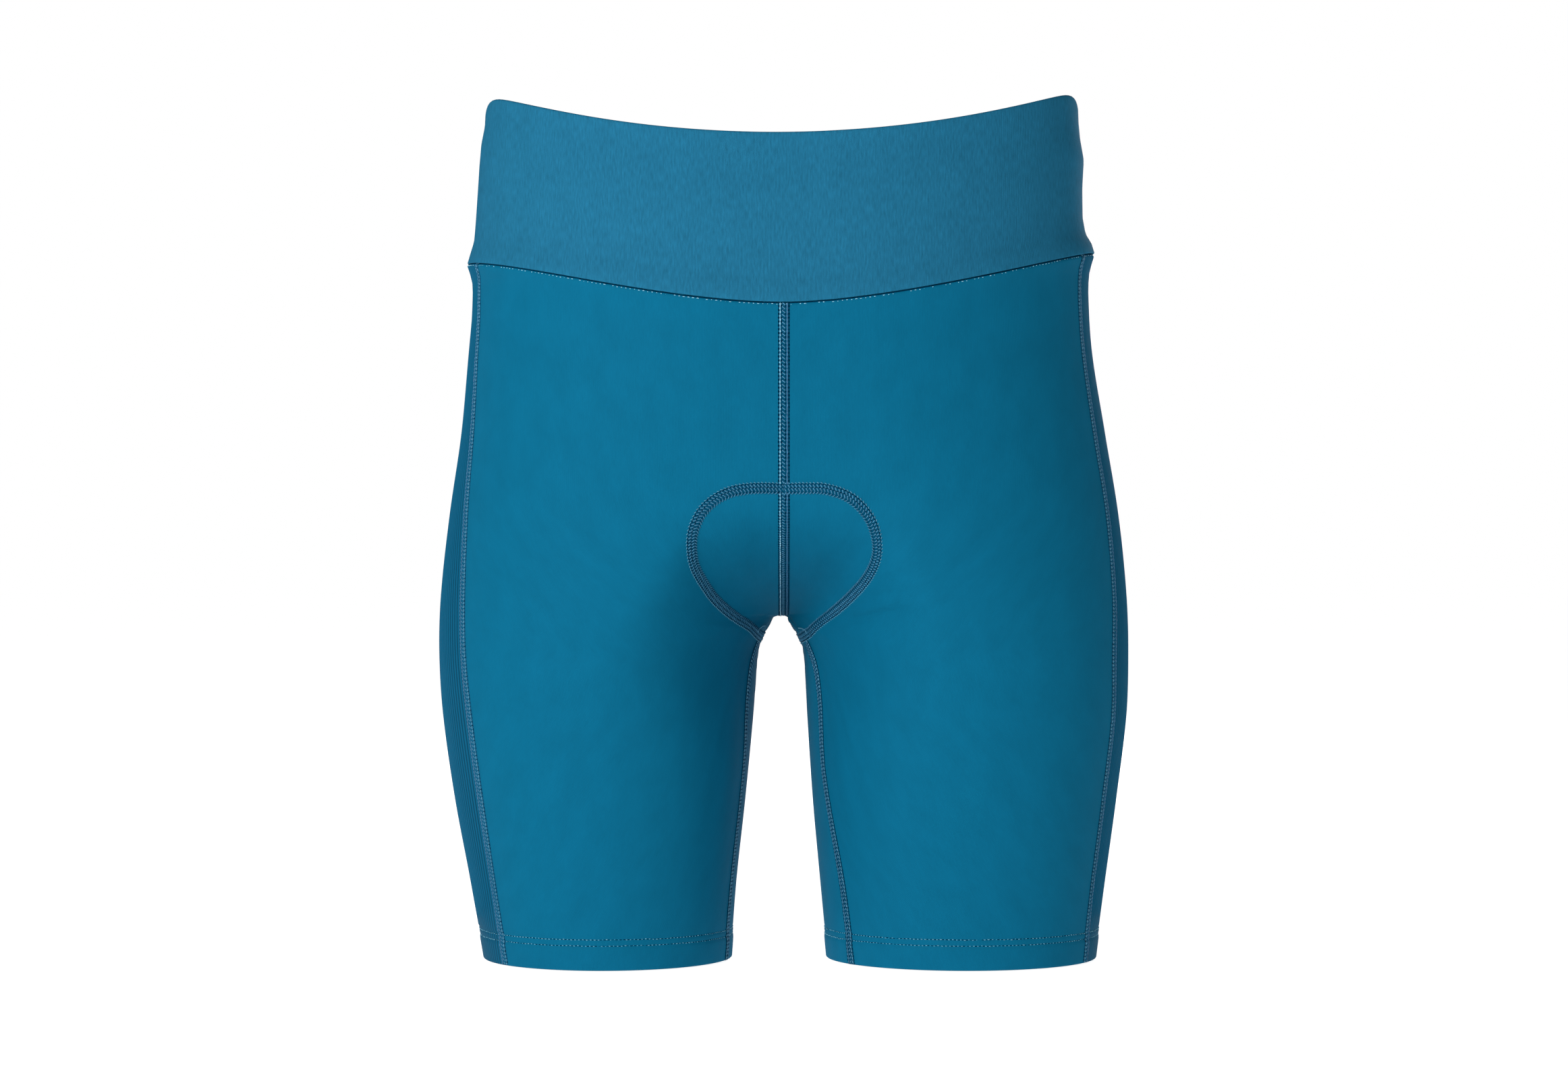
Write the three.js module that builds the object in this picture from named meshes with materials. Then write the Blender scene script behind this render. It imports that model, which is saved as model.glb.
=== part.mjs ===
// Close-fitting cycling shorts, filled out as when worn: a wide doubled waistband in two halves,
// two front panels, two back panels and two ribbed side panels, sewn edge to edge.
// Millimetres, Z up. The front faces -Y and the wearer's left is +X. The origin is the middle of
// the waist opening, inside the waistband.

import * as THREE from 'three';

// Cloth
const PANEL_WALL = 1.2;
const BAND_WALL = 2.2;
const SEAM_GAP = 0.3;

// Level lines round the body, in heights at the centre front, the sides and the centre back
const RIM = { front: 12.5, side: 37, back: 26 };
const BAND_SEAM = { front: -74, side: -43.5, back: -56 };
const BAND_TILT = 1.2;
const LINE_POWER = 1.6;
const WAIST_LEVEL = -30;

// Crotch: where the centre seams meet the inseams. Its rise is the height over which the centre
// seams curve under, and its ease is how soon the thighs part below it.
const CROTCH = { y: 4, z: -232, rise: 67, ease: 10 };
const THIGH_ROUNDING = 85;

// Hem: cloth turned up once, so the wall is thicker there
const HEM = { z: -413, depth: 18, fold: 0.6, step: 0.6 };

// Top edge of the panels, pushed out by the seam under the waistband
const PANEL_TOP = { flare: 1.5, depth: 12 };

// Side panels: ribs run from the waistband and fade at the hem
const RIBS = { count: 30, height: 0.4, fade: 14 };

// Widths seen from the front. out: the silhouette. in: the inner side of the thigh.
const WIDTHS = [
  { z: 40, outRight: 159.8, outLeft: 159.8, inRight: 12, inLeft: 9.5 },
  { z: 0, outRight: 160, outLeft: 160, inRight: 12, inLeft: 9.5 },
  { z: -30, outRight: 161, outLeft: 160.5, inRight: 12, inLeft: 9.5 },
  { z: -60, outRight: 163.4, outLeft: 160.6, inRight: 12, inLeft: 9.5 },
  { z: -92, outRight: 166.4, outLeft: 163, inRight: 12, inLeft: 9.5 },
  { z: -135, outRight: 170.4, outLeft: 170, inRight: 12, inLeft: 9.5 },
  { z: -178, outRight: 176.8, outLeft: 177.1, inRight: 12, inLeft: 9.5 },
  { z: -221, outRight: 181.4, outLeft: 181.4, inRight: 12.4, inLeft: 9.8 },
  { z: -252, outRight: 182.2, outLeft: 182.5, inRight: 13.8, inLeft: 10.8 },
  { z: -285, outRight: 180.4, outLeft: 181.8, inRight: 16.1, inLeft: 12.1 },
  { z: -328, outRight: 174.3, outLeft: 176.4, inRight: 20.4, inLeft: 15 },
  { z: -371, outRight: 166.1, outLeft: 170.4, inRight: 25, inLeft: 19 },
  { z: -413, outRight: 160, outLeft: 166.2, inRight: 28, inLeft: 22.8 },
];

// Side seams: how far inside the silhouette each runs, two in front and two alike at the back
const SIDE_SEAMS = [
  { z: -30, right: 6, left: 7, back: 6 },
  { z: -60, right: 6.4, left: 7, back: 6 },
  { z: -92, right: 7, left: 7.2, back: 6 },
  { z: -135, right: 8.7, left: 8.4, back: 6 },
  { z: -178, right: 12, left: 8.8, back: 6 },
  { z: -221, right: 15.4, left: 10, back: 6 },
  { z: -252, right: 17, left: 11.2, back: 6 },
  { z: -285, right: 18.5, left: 10.6, back: 6 },
  { z: -328, right: 17.8, left: 10.2, back: 5.5 },
  { z: -371, right: 15.6, left: 9.6, back: 5 },
  { z: -413, right: 14.6, left: 8.4, back: 5 },
];

// Inseams: how far inside the inner silhouette each runs, on the front of the thigh
const INSEAMS = [
  { z: -232, right: 0, left: 0 },
  { z: -246, right: 0.3, left: 0.6 },
  { z: -262, right: 1.4, left: 2.6 },
  { z: -285, right: 2.3, left: 4.8 },
  { z: -328, right: 2.5, left: 7.6 },
  { z: -371, right: 2.6, left: 11.2 },
  { z: -413, right: 2.7, left: 12.8 },
];

// Depths seen from the side. frontX and backX: how far from the middle each half is fullest.
const DEPTHS = [
  { z: 40, frontX: 20, frontY: 97, sideY: 0, backX: 24, backY: 99 },
  { z: 0, frontX: 21, frontY: 99, sideY: 0, backX: 27, backY: 101 },
  { z: -30, frontX: 22, frontY: 101, sideY: 0, backX: 31, backY: 104 },
  { z: -60, frontX: 24, frontY: 103, sideY: 0, backX: 36, backY: 110 },
  { z: -92, frontX: 28, frontY: 104, sideY: 1, backX: 44, backY: 117 },
  { z: -135, frontX: 38, frontY: 103, sideY: 2, backX: 56, backY: 124 },
  { z: -178, frontX: 56, frontY: 99, sideY: 3, backX: 70, backY: 122 },
  { z: -221, frontX: 78, frontY: 94, sideY: 4, backX: 84, backY: 109 },
  { z: -252, frontX: 89, frontY: 90, sideY: 4, backX: 92, backY: 98 },
  { z: -285, frontX: 95, frontY: 86, sideY: 4, backX: 96, backY: 91 },
  { z: -328, frontX: 96, frontY: 80, sideY: 4, backX: 96, backY: 85 },
  { z: -371, frontX: 95, frontY: 72, sideY: 4, backX: 95, backY: 79 },
  { z: -413, frontX: 94, frontY: 65, sideY: 4, backX: 94, backY: 73 },
];

// Waistband, from its rim (down 0) to its seam (down 1): how far it stands off the body line
const BAND_PROFILE = [
  { down: 0, off: -1.7 },
  { down: 0.1, off: -2.3 },
  { down: 0.22, off: -1.8 },
  { down: 0.36, off: -0.2 },
  { down: 0.76, off: 0 },
  { down: 0.84, off: 0.9 },
  { down: 0.92, off: 2.4 },
  { down: 1, off: 3.8 },
];

// Mesh steps
const PANEL_COLUMNS = 12;
const BAND_COLUMNS = 32;
const RIB_STEPS_PER_INNER_STEP = 4;
const ROWS_TO_CROTCH = 10;
const ROWS_BELOW_CROTCH = 8;
const ROWS_NEAR_CROTCH = 1.8;
const SEAM_ROWS_REACH = 0.22;
const STRAIGHT_ROWS = 5;
const SLOPE_STEP = 1e-4;

const COLOURS = { panel: 0x0b6a8f, rib: 0x0a5f82, band: 0x1a7398 };

// One named column of a table at a height, as a smooth curve through its rows
function column(table, name, z) {
  const last = table.length - 1;
  let i = 0;
  while (i < last - 1 && z < table[i + 1].z) i += 1;
  const slope = (k) => {
    const before = table[Math.max(k - 1, 0)];
    const after = table[Math.min(k + 1, last)];
    return (after[name] - before[name]) / (after.z - before.z);
  };
  const [a, b] = [table[i], table[i + 1]];
  const step = b.z - a.z;
  const q = THREE.MathUtils.clamp((z - a.z) / step, 0, 1);
  const rise = b[name] - a[name];
  const [m, n] = [slope(i) * step, slope(i + 1) * step];
  return a[name] + q * (m + q * (3 * rise - 2 * m - n + q * (m + n - 2 * rise)));
}

// Square of the distance from the crotch line to the centre seam, positive above the crotch,
// and below it the negative value whose section closes at the inseam
function centreSquared(z, depth, fullX, inseam) {
  const rate = Math.PI / (2 * fullX);
  if (z < CROTCH.z) return -((depth * Math.tan(rate * inseam)) ** 2);
  const up = Math.min((z - CROTCH.z) / CROTCH.rise, 1);
  const gap = (column(WIDTHS, 'inRight', z) + column(WIDTHS, 'inLeft', z)) / 2;
  const start = (CROTCH.rise * (rate * gap) ** 2) / CROTCH.ease;
  return depth ** 2 * (up ** 2 * (3 - 2 * up) + start * up * (1 - up) ** 2);
}

// Inner quarter of a section, from the centre seam or inseam (q 0) to where it is fullest (q 1)
function innerQuarter(q, z, depth, fullX, inseam) {
  const turn = (q * Math.PI) / 2;
  const square = centreSquared(z, depth, fullX, inseam);
  if (square >= 0) {
    const y = Math.sqrt(square * Math.cos(turn) ** 2 + (depth * Math.sin(turn)) ** 2);
    return [fullX * q, y];
  }
  const y = depth * Math.sin(turn);
  const saddle = Math.asin(Math.sqrt((y ** 2 - square) / (depth ** 2 - square)));
  const pointed = (fullX * saddle * 2) / Math.PI;
  const round = fullX - (fullX - inseam) * Math.cos(turn);
  const below = THREE.MathUtils.smoothstep(CROTCH.z - z, 0, THIGH_ROUNDING);
  return [THREE.MathUtils.lerp(pointed, round, below), y];
}

// Half of the body that a place lies on. A place past a centre seam is on the other half, and
// one past an inseam is on the same leg, from its other end.
function settle(left, place, belowCrotch) {
  if (place >= 0 && place <= 1) return [left, place];
  if (belowCrotch) return [left, place < 0 ? 1 + place : place - 1];
  return [!left, place < 0 ? -place : 2 - place];
}

// Point of the body line at a height and a place, which runs on each half of the body from 0 at
// the centre front, by 0.5 at the side, to 1 at the centre back
function bodyPoint(half, place, z) {
  const [left, s] = settle(half, place, z < CROTCH.z);
  const front = s < 0.5;
  const fullX = column(DEPTHS, front ? 'frontX' : 'backX', z);
  const fullY = column(DEPTHS, front ? 'frontY' : 'backY', z);
  const outX = column(WIDTHS, left ? 'outLeft' : 'outRight', z);
  const sideY = column(DEPTHS, 'sideY', z);
  const parting = 1 - Math.exp(Math.min(z - CROTCH.z, 0) / CROTCH.ease);
  const inseam = column(WIDTHS, left ? 'inLeft' : 'inRight', z) * Math.sqrt(parting);
  const quarter = (front ? s : 1 - s) * 4;
  const toFront = front ? -1 : 1;
  let x;
  let y;
  if (quarter < 1) {
    const depth = fullY - toFront * CROTCH.y;
    [x, y] = innerQuarter(quarter, z, depth, fullX, inseam);
    y = CROTCH.y + toFront * y;
  } else {
    const turn = ((quarter - 1) * Math.PI) / 2;
    x = fullX + (outX - fullX) * Math.sin(turn);
    y = sideY + (toFront * fullY - sideY) * Math.cos(turn);
  }
  return new THREE.Vector3(left ? x : -x, y, z);
}

// Height of a level line at a place, by how far that place is out to the side
function levelLine(line, left, place) {
  const { x, y } = bodyPoint(left, place, WAIST_LEVEL);
  const outX = column(WIDTHS, x > 0 ? 'outLeft' : 'outRight', WAIST_LEVEL);
  const middle = y < 0 ? line.front : line.back;
  const rise = Math.min(Math.abs(x) / outX, 1) ** LINE_POWER;
  return THREE.MathUtils.lerp(middle, line.side, rise) + (BAND_TILT * x) / outX;
}

// Outward direction of a surface given by a function of its place along and its way down. It is
// kept level along a piece's top and bottom edges, so that the edge stays at its height.
function outward(surface, along, down, level) {
  const across = surface(along + SLOPE_STEP, down).sub(surface(along - SLOPE_STEP, down));
  const below = surface(along, Math.min(down + SLOPE_STEP, 1));
  const slope = below.sub(surface(along, Math.max(down - SLOPE_STEP, 0)));
  const direction = slope.cross(across);
  if (level) direction.z = 0;
  return direction.normalize();
}

// Height of a panel row, from the waistband seam (down 0) to the hem fold (down 1). Along the
// centre seams the rows close up towards the crotch, where the seams curve under.
const CROTCH_DOWN = ROWS_TO_CROTCH / (ROWS_TO_CROTCH + ROWS_BELOW_CROTCH);
const HEM_TOP = HEM.z + HEM.depth;

function rowHeight(half, place, down) {
  const [left, s] = settle(half, place, down > CROTCH_DOWN);
  const top = levelLine(BAND_SEAM, left, s) - SEAM_GAP / 2;
  const plain = THREE.MathUtils.lerp(top, HEM_TOP, down);
  const apart = THREE.MathUtils.smoothstep(Math.min(s, 1 - s), 0, SEAM_ROWS_REACH);
  return THREE.MathUtils.lerp(seamHeight(top, down), plain, apart);
}

function seamHeight(top, down) {
  if (down > CROTCH_DOWN) {
    const q = (down - CROTCH_DOWN) / (1 - CROTCH_DOWN);
    return THREE.MathUtils.lerp(CROTCH.z, HEM_TOP, q ** ROWS_NEAR_CROTCH);
  }
  const q = down / CROTCH_DOWN;
  const straight = STRAIGHT_ROWS / ROWS_TO_CROTCH;
  const curveTop = CROTCH.z + CROTCH.rise;
  if (q < straight) return THREE.MathUtils.lerp(top, curveTop, q / straight);
  const turn = (((q - straight) / (1 - straight)) * Math.PI) / 2;
  return curveTop - CROTCH.rise * Math.sin(turn);
}

// Place of a side seam, front or back, at a height
function sideSeam(left, front, z) {
  const frontSeam = left ? 'left' : 'right';
  const fullX = column(DEPTHS, front ? 'frontX' : 'backX', z);
  const outX = column(WIDTHS, left ? 'outLeft' : 'outRight', z);
  const inset = column(SIDE_SEAMS, front ? frontSeam : 'back', z);
  const turn = Math.asin(1 - inset / (outX - fullX));
  const quarters = 1 + (turn * 2) / Math.PI;
  return front ? quarters / 4 : 1 - quarters / 4;
}

// Place of an inseam on the front of the thigh, at a height
function inseamPlace(left, z) {
  if (z >= CROTCH.z) return 0;
  const fullX = column(DEPTHS, 'frontX', z);
  const innerX = column(WIDTHS, left ? 'inLeft' : 'inRight', z);
  const inset = column(INSEAMS, left ? 'left' : 'right', z);
  return Math.acos(1 - inset / (fullX - innerX)) / (2 * Math.PI);
}

class RowCurve extends THREE.Curve {
  constructor(pointAt) {
    super();
    this.pointAt = pointAt;
  }
  getPoint(t) {
    return this.pointAt(t);
  }
}

// Places from start to end that are evenly spaced on a row
function evenPlaces(pointAt, start, end, steps) {
  const row = new RowCurve((t) => pointAt(THREE.MathUtils.lerp(start, end, t)));
  const place = (i) => THREE.MathUtils.lerp(start, end, row.getUtoTmapping(i / steps));
  return Array.from({ length: steps + 1 }, (_, i) => place(i));
}

// Closed wall between an outer grid and an inner grid of as many rows. The outer one may have
// several columns for each inner column.
function wall(outer, inner) {
  const rows = outer.length - 1;
  const columns = outer[0].length - 1;
  const innerColumns = inner[0].length - 1;
  const share = columns / innerColumns;
  const points = [...outer.flat(), ...inner.flat()];
  const out = (j, i) => j * (columns + 1) + i;
  const inn = (j, i) => (rows + 1) * (columns + 1) + j * (innerColumns + 1) + i;
  const faces = [];
  const apart = (a, b) => points[a].distanceTo(points[b]);
  const quad = (a, b, c, d) => {
    if (apart(a, c) <= apart(b, d)) faces.push(a, b, c, a, c, d);
    else faces.push(a, b, d, b, c, d);
  };
  for (let j = 0; j < rows; j += 1) {
    for (let i = 0; i < columns; i += 1) {
      quad(out(j, i), out(j + 1, i), out(j + 1, i + 1), out(j, i + 1));
    }
    for (let i = 0; i < innerColumns; i += 1) {
      quad(inn(j, i), inn(j, i + 1), inn(j + 1, i + 1), inn(j + 1, i));
    }
    quad(out(j, 0), inn(j, 0), inn(j + 1, 0), out(j + 1, 0));
    quad(out(j, columns), out(j + 1, columns), inn(j + 1, innerColumns), inn(j, innerColumns));
  }
  for (let i = 0; i < innerColumns; i += 1) {
    const end = (i + 1) * share;
    for (let k = i * share; k < end; k += 1) {
      faces.push(out(0, k), out(0, k + 1), inn(0, i));
      faces.push(out(rows, k + 1), out(rows, k), inn(rows, i));
    }
    faces.push(out(0, end), inn(0, i + 1), inn(0, i));
    faces.push(inn(rows, i + 1), out(rows, end), inn(rows, i));
  }
  const geometry = new THREE.BufferGeometry().setFromPoints(points);
  geometry.setIndex(faces);
  geometry.computeVertexNormals();
  return geometry;
}

// Moves the first or last column of a grid along its rows, to leave half the seam gap
function trimEdge(grid, edge) {
  for (const row of grid) {
    const last = edge === 'start' ? 0 : row.length - 1;
    const next = edge === 'start' ? 1 : row.length - 2;
    const inwards = row[next].clone().sub(row[last]).normalize();
    row[last].addScaledVector(inwards, SEAM_GAP / 2);
  }
}

// Keeps a panel's points half the seam gap clear of the centre plane
function trimCentre(grid, left) {
  for (const point of grid.flat()) {
    const x = Math.max(Math.abs(point.x), SEAM_GAP / 2);
    point.x = left ? x : -x;
  }
}

function piece(name, geometry, colour) {
  const material = new THREE.MeshStandardMaterial({ color: colour, roughness: 0.75, metalness: 0 });
  const mesh = new THREE.Mesh(geometry, material);
  mesh.name = name;
  return mesh;
}

// Half of the waistband, front or back, from one side to the other through the middle. Places run
// counterclockwise seen from above, to face outwards.
function bandHalf(name, front) {
  const surface = (r, down) => {
    const left = front === (r > 0);
    const place = front ? Math.abs(r) : 1 - Math.abs(r);
    const top = levelLine(RIM, left, place);
    const bottom = levelLine(BAND_SEAM, left, place) + SEAM_GAP / 2;
    return bodyPoint(left, place, THREE.MathUtils.lerp(top, bottom, down));
  };
  const outer = [];
  const inner = [];
  for (const { down, off } of BAND_PROFILE) {
    const places = evenPlaces((r) => surface(r, down), -0.5, 0.5, BAND_COLUMNS);
    const place = (depth) => (r) => {
      return surface(r, down).addScaledVector(outward(surface, r, down, true), depth);
    };
    outer.push(places.map(place(off)));
    inner.push(places.map(place(off - BAND_WALL)));
  }
  for (const grid of [outer, inner]) {
    trimEdge(grid, 'start');
    trimEdge(grid, 'end');
  }
  return piece(name, wall(outer, inner), COLOURS.band);
}

// Rows of a panel: the body rows, then the hem fold's step and its lower edge
function panelRows() {
  const count = ROWS_TO_CROTCH + ROWS_BELOW_CROTCH;
  const rows = Array.from({ length: count + 1 }, (_, j) => ({ down: j / count, drop: 0, off: 0 }));
  rows.push({ down: 1, drop: HEM.step, off: HEM.fold });
  rows.push({ down: 1, drop: HEM.depth, off: HEM.fold });
  return rows;
}

// Outer and inner grids of a panel on one half of the body, between two seams that each give
// their place for a row. Places run backwards on the wearer's right, to face outwards.
function panelGrids(left, seams, outerSteps, innerSteps, ribHeight) {
  const outer = [];
  const inner = [];
  for (const { down, drop, off } of panelRows()) {
    const atEdge = down === 0 || down === 1;
    const surface = (r, d) => {
      const place = left ? r : -r;
      return bodyPoint(left, place, rowHeight(left, place, d) - drop);
    };
    const atSide = rowHeight(left, 0.5, down) - drop;
    const atCentre = rowHeight(left, 0, down) - drop;
    const places = seams.map((seam) => seam(left, { atSide, atCentre }));
    const [start, end] = left ? places : places.map((place) => -place).reverse();
    const fade = THREE.MathUtils.smoothstep(atSide, HEM_TOP, HEM_TOP + RIBS.fade);
    const point = (depth) => (r, i) => {
      const below = levelLine(BAND_SEAM, left, left ? r : -r) - surface(r, down).z;
      const flare = PANEL_TOP.flare * Math.max(1 - below / PANEL_TOP.depth, 0) ** 2;
      const rib = i % 2 === 1 ? ribHeight * fade : 0;
      const lift = depth === 0 ? off + rib : -depth;
      return surface(r, down).addScaledVector(outward(surface, r, down, atEdge), flare + lift);
    };
    const row = (r) => surface(r, down);
    outer.push(evenPlaces(row, start, end, outerSteps).map(point(0)));
    inner.push(evenPlaces(row, start, end, innerSteps).map(point(PANEL_WALL)));
  }
  return [outer, inner];
}

const inseam = (left, row) => inseamPlace(left, row.atCentre);
const frontSeam = (left, row) => sideSeam(left, true, row.atSide);
const backSeam = (left, row) => sideSeam(left, false, row.atSide);

// Front panel: from the centre front seam and the inseam to the front side seam
function frontPanel(left) {
  const seams = [inseam, frontSeam];
  const grids = panelGrids(left, seams, PANEL_COLUMNS, PANEL_COLUMNS, 0);
  for (const grid of grids) {
    trimEdge(grid, 'start');
    trimEdge(grid, 'end');
    trimCentre(grid, left);
  }
  return piece(left ? 'front_left' : 'front_right', wall(...grids), COLOURS.panel);
}

// Back panel: from the back side seam to the centre back seam, and to the inseam on the front
function backPanel(left) {
  const seams = [backSeam, (half, row) => 1 + inseam(half, row)];
  const grids = panelGrids(left, seams, PANEL_COLUMNS, PANEL_COLUMNS, 0);
  for (const grid of grids) {
    trimEdge(grid, 'start');
    trimEdge(grid, 'end');
    trimCentre(grid, left);
  }
  return piece(left ? 'back_left' : 'back_right', wall(...grids), COLOURS.panel);
}

// Ribbed side panel between the two side seams
function sidePanel(left) {
  const seams = [frontSeam, backSeam];
  const steps = RIBS.count * 2;
  const grids = panelGrids(left, seams, steps, steps / RIB_STEPS_PER_INNER_STEP, RIBS.height);
  for (const grid of grids) {
    trimEdge(grid, 'start');
    trimEdge(grid, 'end');
  }
  return piece(left ? 'side_left' : 'side_right', wall(...grids), COLOURS.rib);
}

const group = new THREE.Group();
group.add(bandHalf('waistband_front', true), bandHalf('waistband_back', false));
for (const left of [false, true]) group.add(frontPanel(left), sidePanel(left), backPanel(left));

export default group;
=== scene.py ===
# Close-fitting cycling shorts, filled out as when worn, with all their sewing.
# Sizes are in millimetres and are brought to metres as each mesh is made. The front faces -Y,
# the wearer's left is +X, and the origin is the middle of the waist opening.
import bmesh
import bpy
import numpy as np
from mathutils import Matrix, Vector
from mathutils.bvhtree import BVHTree


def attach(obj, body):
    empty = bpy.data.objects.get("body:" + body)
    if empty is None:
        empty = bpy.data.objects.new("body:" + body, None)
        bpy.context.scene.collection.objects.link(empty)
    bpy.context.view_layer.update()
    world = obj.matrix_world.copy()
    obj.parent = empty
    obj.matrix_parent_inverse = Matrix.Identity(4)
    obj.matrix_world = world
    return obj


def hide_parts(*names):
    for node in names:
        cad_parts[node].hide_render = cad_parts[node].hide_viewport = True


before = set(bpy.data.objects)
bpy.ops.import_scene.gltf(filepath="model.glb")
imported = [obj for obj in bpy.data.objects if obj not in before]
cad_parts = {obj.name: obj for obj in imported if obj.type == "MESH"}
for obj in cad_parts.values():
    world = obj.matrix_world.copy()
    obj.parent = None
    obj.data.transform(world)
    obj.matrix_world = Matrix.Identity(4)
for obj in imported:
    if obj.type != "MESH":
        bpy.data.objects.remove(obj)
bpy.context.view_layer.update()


# Front panels
# Two mirrored pieces of smooth, closely knitted stretch cloth, from the centre front seam and the
# inseam to the side seams. The bottom edge is turned up once inside for the hem.
MM = 0.001
LEFT, RIGHT = 1, -1

# Level lines round the body, in heights at the centre front, the sides and the centre back. The rim
# is highest just in front of the side and falls from there to the back, and the seam hangs lower on
# the wearer's right.
RIM = {"front": 13.5, "side": 41.8, "back": 26, "power": 2.15, "dip": 8.6}
CORNER_SHARE = 0.0165
BAND_SEAM = {"front": -73.3, "side": -43, "back": -55.5, "power": 1.6, "sag": 3.2}
BAND_TILT = 1.2
WAIST_LEVEL = -30

# Crotch, where the centre seams meet the inseams
CROTCH_Y = 4
CROTCH_Z = -232
CROTCH_RISE = 67
CROTCH_EASE = 10
THIGH_ROUNDING = 85

# Widths seen from the front. out: the silhouette. in: the inner side of the thigh.
WIDTHS = {
    "z": [40, 0, -30, -60, -92, -135, -178, -221, -252, -285, -328, -371, -413],
    "out_right": [
        159.8, 160, 161, 163.4, 166.2, 170.2, 176.6, 181.2, 182.1, 180.2, 174.1, 165.9, 158.5,
    ],
    "out_left": [
        159.8, 160, 160.5, 160.5, 162.5, 169.6, 176.7, 181.1, 182.2, 181.3, 175.9, 170.1, 164.9,
    ],
    "in_right": [12, 12, 12, 12, 12, 12, 12, 12.4, 13.8, 16.1, 20.4, 25, 28],
    "in_left": [9.5, 9.5, 9.5, 9.5, 9.5, 9.5, 9.5, 9.8, 10.8, 12.1, 15, 19, 22.8],
}

# Depths seen from the side, with how far from the middle each half is fullest
DEPTHS = {
    "z": [40, 0, -30, -60, -92, -135, -178, -221, -252, -285, -328, -371, -413],
    "front_x": [20, 21, 22, 24, 28, 38, 56, 78, 89, 95, 96, 95, 94],
    "front_y": [97, 99, 101, 103, 104, 103, 99, 94, 90, 86, 80, 72, 65],
    "side_y": [0, 0, 0, 0, 1, 2, 3, 4, 4, 4, 4, 4, 4],
    "back_x": [24, 27, 31, 36, 44, 56, 70, 84, 92, 96, 96, 95, 94],
    "back_y": [99, 101, 104, 110, 117, 124, 122, 109, 98, 91, 85, 79, 73],
}

# Side seams: how far inside the silhouette each runs
SIDE_SEAMS = {
    "z": [-42, -50, -55, -60, -68, -92, -135, -178, -221, -252, -285, -328, -371, -413],
    "right": [6.9, 6.5, 6, 5.6, 5.6, 6.6, 8.6, 12, 15.4, 17, 18.5, 17.8, 15.6, 14.6],
    "left": [7.4, 7.3, 7.1, 7, 7, 7.2, 8.4, 8.8, 10, 11.2, 10.6, 10.2, 9.6, 8.4],
    "back": [6, 6, 6, 6, 6, 6, 6, 6, 6, 6, 6, 5.5, 5, 5],
}

# Inseams: how far inside the inner silhouette each runs, on the front of the thigh
INSEAMS = {
    "z": [-232, -246, -262, -285, -328, -371, -413],
    "right": [0, 0.3, 1.4, 2.3, 2.5, 2.6, 2.7],
    "left": [0, 0.6, 2.6, 4.8, 7.6, 11.2, 12.8],
}

HEM_EDGE = -413
HEM_DEPTH = 18
HEM_TOP = HEM_EDGE + HEM_DEPTH
HEM_FOLD = 0.6
CLOTH = 0.75
# Top of a panel: how far it stands off the body by its distance below the waistband seam. It rolls
# in there to meet the band, and the seam allowances under it are thickest at the sides.
TOP_ROLL = {
    "below": [-4, -2, -0.4, 0, 0.5, 1.2, 2.5, 4.5, 7, 10, 14, 20, 28],
    "middle": [-0.2, 0.3, 1.1, 1.6, 2.1, 2.3, 2.2, 1.5, 0.9, 0.4, 0.1, 0, 0],
    "right": [1, 1.7, 3.2, 4, 4.6, 4.9, 4.7, 3.5, 2.3, 1.6, 1.1, 0.7, 0.3],
    "left": [-0.3, 0.3, 1.4, 2.1, 2.8, 3.1, 2.8, 2.1, 1.3, 0.7, 0.3, 0, 0],
}
# How far the inner thighs have parted by the distance below the crotch, as a share of the full gap
PARTING = {
    "below": [0, 0.8, 3.2, 5, 6.8, 8.5, 10.3, 12.1, 14, 17.5, 24.6, 40],
    "right": [0, 0.4, 0.5, 0.56, 0.64, 0.72, 0.8, 0.86, 0.9, 0.96, 1, 1],
    "left": [0, 0.14, 0.22, 0.31, 0.42, 0.53, 0.65, 0.75, 0.82, 0.91, 0.98, 1],
}
# First rows of a panel, by how far each is below the waistband seam
TOP_DROPS = (-4, -2, -0.8, -0.2, 0.3, 0.8, 1.4)
# Rows below them: how near the centre they close up, which one meets the crotch, how much of a
# centre seam is straight, and how tightly they follow each other down an inseam
SEAM_ROWS_REACH = 0.22
ROW_STEPS = 18
CROTCH_DOWN = 10 / ROW_STEPS
STRAIGHT_SHARE = 0.5
CLOSING_ROWS = 1.8


def column(table, name, at):
    """One named column of a table, as a smooth curve through its rows, read by its first column."""
    levels = np.array(next(iter(table.values())), float)
    at = np.asarray(at, float)
    if levels[0] > levels[-1]:
        levels, at = -levels, -at
    values = np.array(table[name], float)
    slopes = np.gradient(values)
    slopes[1:-1] = (values[2:] - values[:-2]) / (levels[2:] - levels[:-2])
    slopes[0] = (values[1] - values[0]) / (levels[1] - levels[0])
    slopes[-1] = (values[-1] - values[-2]) / (levels[-1] - levels[-2])
    i = np.searchsorted(levels[1:-1], at, side="left")
    step = levels[i + 1] - levels[i]
    q = np.clip((at - levels[i]) / step, 0, 1)
    rise = values[i + 1] - values[i]
    m, n = slopes[i] * step, slopes[i + 1] * step
    return values[i] + q * (m + q * (3 * rise - 2 * m - n + q * (m + n - 2 * rise)))


def by_half(half, table, name, at):
    """A column that differs between the wearer's left and right."""
    return np.where(half > 0, column(table, name + "left", at), column(table, name + "right", at))


def between_rows(half, table, name, at):
    """The same read straight from row to row, for tables with sudden steps."""
    first = next(iter(table.values()))
    left, right = (np.interp(at, first, table[name + side]) for side in ("left", "right"))
    return np.where(half > 0, left, right)


def smoothstep(at, low, high):
    q = np.clip((at - low) / (high - low), 0, 1)
    return q * q * (3 - 2 * q)


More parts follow.
